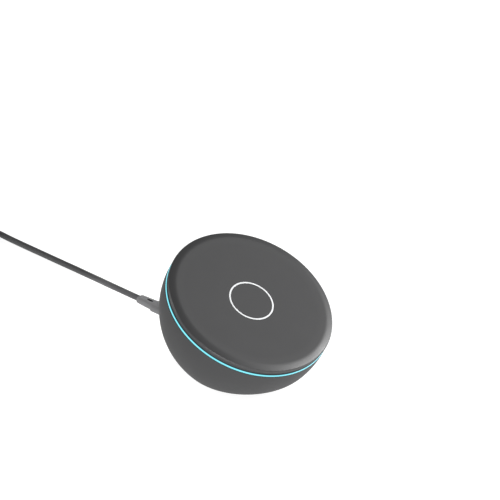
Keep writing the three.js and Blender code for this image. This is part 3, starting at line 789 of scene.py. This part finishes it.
def cover():
    """The cap over the charging coil: a flat face, a bevelled edge and a shadow groove under it."""
    profile = [
        (0.0, COVER_INSIDE),
        (CLIP_INNER, COVER_INSIDE),
        (CLIP_INNER, CLIP_FOOT),
        (CLIP_OUTER, CLIP_FOOT),
        (CLIP_OUTER, COVER_INSIDE),
        (COVER_WALL_INNER, COVER_INSIDE),
        (COVER_WALL_INNER, COVER_FOOT),
        (GROOVE_RADIUS, COVER_FOOT),
        (GROOVE_RADIUS, COVER_EDGE),
    ]
    edge = COVER_EDGE_ROUND
    profile += arc((COVER_RADIUS - edge, COVER_EDGE + edge), (edge, edge), -90, 0, 4)
    profile += face_edge()
    profile += [(radius, FACE_HEIGHT) for radius in (*FACE_RINGS, 0.0)]
    return as_object("cover_cap", turned(profile, HEAD_STEPS, HEAD))


def mark():
    """The thin ring printed in the middle of the face."""
    inner, outer = MARK_RADII
    edge = MARK_PROUD
    bottom = FACE_HEIGHT - MARK_DEPTH
    profile = [(inner, bottom), (outer, bottom), (outer, FACE_HEIGHT)]
    profile += arc((outer - edge, FACE_HEIGHT), (edge, edge), 30, 90, 3)
    profile += arc((inner + edge, FACE_HEIGHT), (edge, edge), 90, 150, 3)
    profile += [(inner, FACE_HEIGHT)]
    return as_object("mark_ring", turned(profile, HEAD_STEPS, HEAD))


def glow():
    """The light guide, with a slightly rounded outer face."""
    side = math.sqrt(BALL_RADIUS ** 2 - GLOW_TOP ** 2) - GLOW_ROUND
    rounding = (GLOW_ROUND, GLOW_ROUND)
    profile = [(GLOW_INNER, GLOW_TOP), (GLOW_INNER, GLOW_BOTTOM)]
    profile += arc((side, GLOW_BOTTOM + GLOW_ROUND), rounding, -90, 0, 5)
    profile += arc((side, GLOW_TOP - GLOW_ROUND), rounding, 0, 90, 5)
    return as_object("glow_guide", turned(profile, HEAD_STEPS, HEAD))


finished(cover(), "body_plastic", "pad", "top_cover")
finished(mark(), "mark_paint", "pad", "ring_mark")
finished(glow(), "light_guide", "pad", "light_ring")

# ---------------------------------------------------------------- plug at the stand

# Places along the cable's axis are +Y in the model's frame
PORT = Matrix.Translation((0, 0, PORT_HEIGHT))
PLUG_SECTION = (8.25, 2.4)
PLUG_WALL = 0.32
PLUG_TIP = 31.6
PLUG_ROOT = 38.7
PLUG_DEPTH = 5.6
LINER_GAP = 0.01
LINER_INSET = 0.35
LINER_FLOOR = 0.3
LINER_MOUTH = (0.3, 0.6, 0.5)  # less width, less height, corner
LINER_HOLLOW = (0.6, 0.85, 0.4)
SPRING_SECTION = (0.26, 0.06)
SPRING_CORNER = 0.02
SPRING_PITCH = 0.5
SPRING_COUNT = 12
SPRING_RISE = 0.43
SPRING_PLACES = ((0.9, 1.0), (1.2, 1.6), (4.6, 1.0))  # behind the tip, share of the thickness
GRIP_SECTION = (9.4, 4.2)
GRIP_START = 38.3
GRIP_END = 71.2
GRIP_ROUND = 0.7
SHOULDER_LENGTH = 1.8
SHOULDER_SECTION = (7.5, 4.1)
COLLAR_START = 71.0
COLLAR_END = 82.4
COLLAR_WIDTHS = (7.4, 5.9)
COLLAR_THICKNESS = 4.1
COLLAR_ROUND = 0.9
FLUTE_START = 71.9
FLUTE_LENGTH = 4.4
FLUTE_WIDTH = 1.5
FLUTE_DEPTH = 1.7
FLUTE_POINT = 0.4
FLUTE_TIP_WIDTH = FLUTE_WIDTH * 0.4
FLUTE_CORNERS = (0.1, 0.3)  # at the points and between them
SHADE_DEPTHS = (0.05, 0.2)  # painted shade, below the collar's surface, from plain to near black
SHADE_SIDES = (0.1, 0.05)  # beyond the flute's sides, the same way
SHADE_END = (0.2, 0.1)  # beyond the flute's end towards the cord, the same way


def plug_tip():
    """The USB-C plug's shell: a drawn steel tube with a rounded mouth."""
    width, thickness = PLUG_SECTION
    corner = thickness / 2
    rim = PLUG_WALL / 2
    sections = [(PLUG_ROOT, width, thickness, corner)]
    for along, inset in arc((PLUG_TIP + rim, rim), (rim, rim), -90, -270, 8):
        sections.append((along, width - 2 * inset, thickness - 2 * inset, corner - inset))
    inner = 2 * PLUG_WALL
    sections.append((PLUG_TIP + PLUG_DEPTH, width - inner, thickness - inner, corner - PLUG_WALL))
    return as_object("plug_tip", loft(sections, PORT, 8))


def plug_liner():
    """The dark plastic lining of the plug's mouth."""
    width, height = [size - 2 * (PLUG_WALL + LINER_GAP) for size in PLUG_SECTION]
    mouth, bottom = PLUG_TIP + LINER_INSET, PLUG_TIP + PLUG_DEPTH
    opening, hollow = [(width - x, height - z, corner) for x, z, corner in (LINER_MOUTH, LINER_HOLLOW)]
    sections = [
        (bottom, width, height, height / 2),
        (mouth, width, height, height / 2),
        (mouth, *opening),
        (mouth + LINER_FLOOR, *hollow),
        (bottom - LINER_FLOOR, *hollow),
    ]
    return as_object("plug_liner", loft(sections, PORT, 8))


def plug_contacts():
    """Two rows of contact springs in the plug's mouth."""
    width, thickness = SPRING_SECTION
    sections = []
    for along, share in SPRING_PLACES:
        sections.append((PLUG_TIP + along, width, thickness * share, SPRING_CORNER))
    made = bmesh.new()
    for side in (-1, 1):
        for i in range(SPRING_COUNT):
            across = SPRING_PITCH * (i - (SPRING_COUNT - 1) / 2)
            join(made, loft(sections, PORT @ Matrix.Translation((across, 0, side * SPRING_RISE)), 1))
    return as_object("plug_contacts", made)


def plug_grip():
    """The moulded grip, with a soft shoulder down to the strain relief."""
    full, low = Vector(GRIP_SECTION), Vector(SHOULDER_SECTION)
    sections = rounded_end(GRIP_START, full.x, full.y, full.y / 2, GRIP_ROUND, -1)
    steps = 10
    for i in range(steps + 1):
        width, thickness = full.lerp(low, ease(i / steps))
        along = GRIP_END - SHOULDER_LENGTH * (1 - i / steps)
        sections.append((along, width, thickness, thickness / 2))
    return as_object("plug_grip", loft(sections, PORT, 8))


def flute_cutter():
    """Two slim bars with pointed ends, sunk in the top and the bottom of the collar."""
    tip, (point, middle) = FLUTE_TIP_WIDTH, FLUTE_CORNERS
    end = FLUTE_START + FLUTE_LENGTH
    height = 2 * FLUTE_DEPTH
    sections = [
        (FLUTE_START, tip, height, point),
        (FLUTE_START + FLUTE_POINT, FLUTE_WIDTH, height, middle),
        (end - FLUTE_POINT, FLUTE_WIDTH, height, middle),
        (end, tip, height, point),
    ]
    made = bmesh.new()
    for side in (-1, 1):
        join(made, loft(sections, PORT @ Matrix.Translation((0, 0, side * COLLAR_THICKNESS / 2)), 4))
    return as_object("flute_cutter", made)


def collar():
    """The flexible strain relief: tapered, blunt at the cord, with a flute on top and underneath."""
    first, last = COLLAR_WIDTHS
    corner = COLLAR_THICKNESS / 2
    end = COLLAR_END - COLLAR_ROUND
    sections = []
    steps = 8
    for i in range(steps + 1):
        share = i / steps
        along = COLLAR_START + (end - COLLAR_START) * share
        sections.append((along, first + (last - first) * share, COLLAR_THICKNESS, corner))
    blunt = rounded_end(COLLAR_END, last, COLLAR_THICKNESS, corner, COLLAR_ROUND, 1)
    sections += blunt[::-1][1:]
    piece = as_object("collar", loft(sections, PORT, 8))
    cut(piece, flute_cutter())
    return piece


def collar_material():
    """The plug's lighter copy of the cord plastic, which is painted light, with painted shade near black
    inside the flutes.
    """
    made = cable_plastic("collar_plastic_painted_light_and_shade", PLUG_GREY_PAINTED_LIGHT, PLUG_ROUGHNESS)
    parts = made.node("ShaderNodeSeparateXYZ", Vector=made.place)
    across, along, height = parts.outputs
    top = COLLAR_THICKNESS / 2
    side = FLUTE_WIDTH / 2
    end = FLUTE_START + FLUTE_LENGTH
    # Painted shade: near black inside the flutes, fading out at their sides and towards the cord
    off_axis = made.maths("ABSOLUTE", made.maths("SUBTRACT", height, PORT_HEIGHT * MM))
    sunk = made.ramp(off_axis, *[(top - depth) * MM for depth in SHADE_DEPTHS])
    between = made.ramp(made.maths("ABSOLUTE", across), *[(side + past) * MM for past in SHADE_SIDES])
    before = made.ramp(along, *[(end + past) * MM for past in SHADE_END])
    share = made.maths("MULTIPLY", made.maths("MULTIPLY", sunk, between), before)
    made.set(made.surface.inputs["Base Color"], made.mix(share, made.driven("Base Color"), FLUTE_PAINTED_SHADE))
    return made.material


finished(plug_tip(), "steel", "cable", "usb_c_shell")
finished(plug_liner(), "chip_plastic", "cable")
finished(plug_contacts(), "steel", "cable")
finished(plug_grip(), "cord_plastic", "cable", "usb_c_overmould", material=PLUG_PLASTIC_PAINTED_LIGHT)
finished(collar(), "cord_plastic", "cable", "usb_c_strain_relief", material=collar_material())

# ---------------------------------------------------------------- tie round the coil

TIE_ANGLE = 75
TIE_WIDTH = 5.0
TIE_THICKNESS = 0.5
TIE_EDGE = 0.2
TIE_INNER = 11.7
TIE_OUTER = 26.9
TIE_HEIGHT = 7.7
TIE_CORNER = 2.6
FLAP = (4.4, 11.6)  # the straight part of the tie's free end, from TIE_INNER
FLAP_TIP = 0.8
FLAP_SINK = 0.35
FLAP_LIFT = 0.15


def strap(route, place, closed):
    """A flat strap along a route of (along, up) points, across the route's plane."""
    count = len(route)
    rows = []
    for i, (x, z) in enumerate(route):
        before = route[(i - 1) % count if closed else max(i - 1, 0)]
        after = route[(i + 1) % count if closed else min(i + 1, count - 1)]
        normal = Vector((after[1] - before[1], 0, before[0] - after[0])).normalized()
        row = []
        for across, out in outline(TIE_WIDTH, TIE_THICKNESS, TIE_EDGE, 3):
            row.append(place @ (Vector((x, across, z)) + normal * out))
        rows.append(row)
    return skin(rows, joined_ends=closed)


def tie():
    """A strap round the coil's bundle, with its free end lying back on itself."""
    place = Matrix.Translation(COIL_CENTRE) @ Matrix.Rotation(math.radians(TIE_ANGLE), 4, "Z")
    length = TIE_OUTER - TIE_INNER + TIE_THICKNESS
    middle = (TIE_INNER + TIE_OUTER) / 2
    centre = (TIE_HEIGHT + TIE_THICKNESS) / 2
    loop = [(x + middle, z + centre) for x, z in outline(length, TIE_HEIGHT, TIE_CORNER, 8)]
    made = strap(loop, place, closed=True)

    top = TIE_HEIGHT + TIE_THICKNESS * 1.5
    start, end = [TIE_INNER + along for along in FLAP]
    steps = 6
    flap = [(start - FLAP_TIP, top - FLAP_SINK)]
    flap += [(start + (end - start) * i / steps, top) for i in range(steps + 1)]
    flap += [(end + FLAP_TIP, top + FLAP_LIFT)]
    join(made, strap(flap, place, closed=False))
    return as_object("strap", made)


finished(tie(), "tie_strap", "cable", "cord_tie")

# ---------------------------------------------------------------- far plug

# Places along the far plug's axis, from where the cord leaves the coil
FAR_AXIS_PLACE = FAR_END @ Matrix.Translation((0, 0, FAR_AXIS))
FAR_RELIEF = (19.9, 30.5)
FAR_RELIEF_SECTIONS = ((4.6, 4.2), (8.0, 6.0))
FAR_RIBS = 5
RIB_DEPTH = 0.3
RIB_SHARPNESS = 6
RIB_FLAT = 0.1
FAR_GRIP = (30.3, 50.3)
FAR_GRIP_SECTION = (15.2, 7.6)
FAR_GRIP_BACK = (13.8, 7.1)
FAR_GRIP_CORNER = 2.4
FAR_GRIP_ROUNDS = (1.4, 0.9)  # at the cord's end and at the shell's
FAR_GRIP_WIDENING = 1.6  # it has its full section after 1 / 1.6 of its length
WAIST_DEPTH = 0.5
WAIST_PLACE = 0.45
WAIST_SPREAD = 0.18
FAR_SHELL = (50.0, 69.1)
FAR_SHELL_SECTION = (12.0, 4.5)
FAR_SHELL_WALL = 0.3
FAR_SHELL_CORNER = 0.6
FAR_SHELL_FLOOR = 0.5
WINDOW = (60.6, 63.1)
WINDOW_WIDTH = 2.3
WINDOW_OFFSET = 2.9
WINDOW_CORNER = 0.25
FAR_INSERT_SECTION = (10.8, 1.7)
FAR_INSERT_START = FAR_SHELL[0] + 0.6
FAR_INSERT_END = 66.6
FAR_INSERT_CORNER = 0.15
FAR_INSERT_NOSE = ((0.5, 0), (0.15, 0.3), (0, 0.8))  # before its end, less width and height
INSERT_ABOVE_SHELL = 0.6  # from the shell's lowest point
INSERT_DROP = -FAR_SHELL_SECTION[1] / 2 + INSERT_ABOVE_SHELL + FAR_INSERT_SECTION[1] / 2
CONTACT_PROUD = 0.03
CONTACT_HEIGHT = INSERT_DROP + FAR_INSERT_SECTION[1] / 2 + CONTACT_PROUD
CONTACT_SECTION = (1.1, 0.14, 0.05)
CONTACT_START = 57.0
CONTACT_FRONTS = {-3.5: 65.4, -1.0: 64.4, 1.0: 64.4, 3.5: 65.4}  # by their place across


def far_relief():
    """A ribbed strain relief that widens towards the plug."""
    start, end = FAR_RELIEF
    thin, thick = [Vector(section) for section in FAR_RELIEF_SECTIONS]
    sections = []
    steps = FAR_RIBS * 8
    for i in range(steps + 1):
        share = i / steps
        wave = math.tanh(RIB_SHARPNESS * math.cos(2 * math.pi * FAR_RIBS * share))
        rib = RIB_DEPTH * (0.5 + 0.5 * wave)
        width, height = thin.lerp(thick, share)
        corner = (height - rib) / 2 - RIB_FLAT
        sections.append((start + (end - start) * share, width - rib, height - rib, corner))
    return as_object("far_relief", loft(sections, FAR_AXIS_PLACE, 6))


def far_grip():
    """The far plug's moulded grip: rounded at both ends, with a slight waist to hold it by."""
    start, end = FAR_GRIP
    full, back = Vector(FAR_GRIP_SECTION), Vector(FAR_GRIP_BACK)
    back_round, front_round = FAR_GRIP_ROUNDS
    sections = rounded_end(start, back.x, back.y, FAR_GRIP_CORNER, back_round, -1)
    front = rounded_end(end, full.x, full.y, FAR_GRIP_CORNER, front_round, 1)[::-1]
    first, last = sections[-1][0], front[0][0]
    steps = 10
    for i in range(1, steps):
        share = i / steps
        width, height = back.lerp(full, ease(share * FAR_GRIP_WIDENING))
        waist = WAIST_DEPTH * math.exp(-((share - WAIST_PLACE) / WAIST_SPREAD) ** 2)
        sections.append((first + (last - first) * share, width - waist, height, FAR_GRIP_CORNER))
    sections += front
    return as_object("far_grip", loft(sections, FAR_AXIS_PLACE, 6))


def far_shell():
    """The USB-A shell: folded steel sheet with two latch windows in each broad face."""
    start, end = FAR_SHELL
    width, height = FAR_SHELL_SECTION
    wall, corner = FAR_SHELL_WALL, FAR_SHELL_CORNER
    rim = wall / 2
    sections = [(start, width, height, corner)]
    for along, inset in arc((end - rim, rim), (rim, rim), -90, 90, 6):
        sections.append((along, width - 2 * inset, height - 2 * inset, corner - inset))
    bottom = start + FAR_SHELL_FLOOR
    sections.append((bottom, width - 2 * wall, height - 2 * wall, corner - wall))
    piece = as_object("far_shell", loft(sections, FAR_AXIS_PLACE, 5))

    tools = bmesh.new()
    for across in (-WINDOW_OFFSET, WINDOW_OFFSET):
        place = FAR_AXIS_PLACE @ Matrix.Translation((across, 0, 0))
        bar = [(along, WINDOW_WIDTH, 2 * height, WINDOW_CORNER) for along in WINDOW]
        join(tools, loft(bar, place, 2))
    cut(piece, as_object("windows", tools))
    return piece


def far_insert():
    """The plastic tongue inside the far plug, with its front edge eased."""
    width, height = FAR_INSERT_SECTION
    places = [(FAR_INSERT_START, 0)] + [(FAR_INSERT_END - back, less) for back, less in FAR_INSERT_NOSE]
    sections = [(along, width - less, height - less, FAR_INSERT_CORNER) for along, less in places]
    place = FAR_AXIS_PLACE @ Matrix.Translation((0, 0, INSERT_DROP))
    return as_object("far_insert", loft(sections, place, 3))


def far_contacts():
    """Four contact strips on top of the tongue, the outer two longer."""
    made = bmesh.new()
    for across, front in CONTACT_FRONTS.items():
        place = FAR_AXIS_PLACE @ Matrix.Translation((across, 0, CONTACT_HEIGHT))
        join(made, loft([(along, *CONTACT_SECTION) for along in (CONTACT_START, front)], place, 2))
    return as_object("far_contacts", made)


# The far plug's relief and grip take the same lighter copy of the cord plastic, which is painted light
finished(far_relief(), "cord_plastic", "cable", "usb_a_strain_relief", material=PLUG_PLASTIC_PAINTED_LIGHT)
finished(far_grip(), "cord_plastic", "cable", "usb_a_overmould", material=PLUG_PLASTIC_PAINTED_LIGHT)
finished(far_shell(), "steel", "cable", "usb_a_shell")
finished(far_insert(), "connector_plastic", "cable", "usb_a_insert")
finished(far_contacts(), "steel", "cable")

# ---------------------------------------------------------------- floor and light

FLOOR_SIZE = 3000
FLOOR_DROP = 0.01
FLOOR_GREY = (0.3, 0.3, 0.3)
TABLE_GLOW = 0.93
WHITE = (1, 1, 1)
SKY_LIGHT = 0.1
HORIZON_LIGHT = 0.66
HORIZON_BAND = (0.1, 0.4)  # from the horizon's light to the sky's, as the Z of a direction
LIGHT_DISTANCE = 1200
SOFTBOXES = {  # azimuth, elevation, width and height, power
    "key_light": (56, 25, (560, 560), 22.0),
    "rim_light": (-140, 27, (500, 500), 3.5),
    "strip_light": (-48, 4, (1500, 150), 9.0),
}
SPOT_AIM = Vector((0, 92, 16))
SPOT_FROM = (-125, 62)  # azimuth, elevation
SPOT_DISTANCE = 600
SPOT_ANGLE = 8
SPOT_POWER = 8.0
SPOT_BLEND = 0.6
SPOT_SOFTNESS = 40  # radius of the lamp


def floor():
    """A table top that glows white, like a photographer's light table."""
    made = bmesh.new()
    size = FLOOR_SIZE
    corners = [(-size, -size), (size, -size), (size, size), (-size, size)]
    made.faces.new([made.verts.new(Vector((x, y, -FLOOR_DROP)) * MM) for x, y in corners])
    piece = as_object("floor", made)
    surface = moulded("table_top", FLOOR_GREY, 0.8, grain=3.0, relief=0.002, spread=0.01)
    surface.glow(WHITE, TABLE_GLOW)
    piece.data.materials.append(surface.material)


def surroundings():
    """A white world, bright up to the horizon and dim overhead."""
    world = bpy.data.worlds.new("studio")
    world.use_nodes = True
    bpy.context.scene.world = world
    nodes, links = world.node_tree.nodes, world.node_tree.links
    parts = nodes.new("ShaderNodeSeparateXYZ")
    links.new(nodes.new("ShaderNodeTexCoord").outputs["Generated"], parts.inputs[0])
    rise = nodes.new("ShaderNodeMapRange")
    rise.interpolation_type = "SMOOTHSTEP"
    links.new(parts.outputs["Z"], rise.inputs["Value"])
    levels = (*HORIZON_BAND, HORIZON_LIGHT, SKY_LIGHT)
    for name, value in zip(("From Min", "From Max", "To Min", "To Max"), levels):
        rise.inputs[name].default_value = value
    background = nodes["Background"]
    background.inputs["Color"].default_value = (*WHITE, 1)
    links.new(rise.outputs[0], background.inputs["Strength"])


def hang(name, data, aim, azimuth, elevation, distance):
    """Hangs a lamp at that distance from its aim, facing it."""
    lamp = bpy.data.objects.new(name, data)
    towards = direction(azimuth, elevation)
    lamp.location = (aim + towards * distance) * MM
    lamp.rotation_mode = "QUATERNION"
    lamp.rotation_quaternion = towards.to_track_quat("Z", "Y")
    bpy.context.scene.collection.objects.link(lamp)


def softbox(name, azimuth, elevation, size, power):
    """A rectangular area light that faces the stand."""
    data = bpy.data.lights.new(name, "AREA")
    data.shape = "RECTANGLE"
    data.size = size[0] * MM
    data.size_y = size[1] * MM
    data.energy = power
    hang(name, data, BALL_CENTRE, azimuth, elevation, LIGHT_DISTANCE)


def plug_spot():
    """A narrow spot light from above on the plug and the start of the cord."""
    data = bpy.data.lights.new("plug_spot", "SPOT")
    data.energy = SPOT_POWER
    data.spot_size = math.radians(SPOT_ANGLE)
    data.spot_blend = SPOT_BLEND
    data.shadow_soft_size = SPOT_SOFTNESS * MM
    hang("plug_spot", data, SPOT_AIM, *SPOT_FROM, SPOT_DISTANCE)


floor()
surroundings()
for name, values in SOFTBOXES.items():
    softbox(name, *values)
plug_spot()
bpy.context.scene.view_settings.view_transform = "Standard"

# ---------------------------------------------------------------- update

bpy.context.view_layer.update()
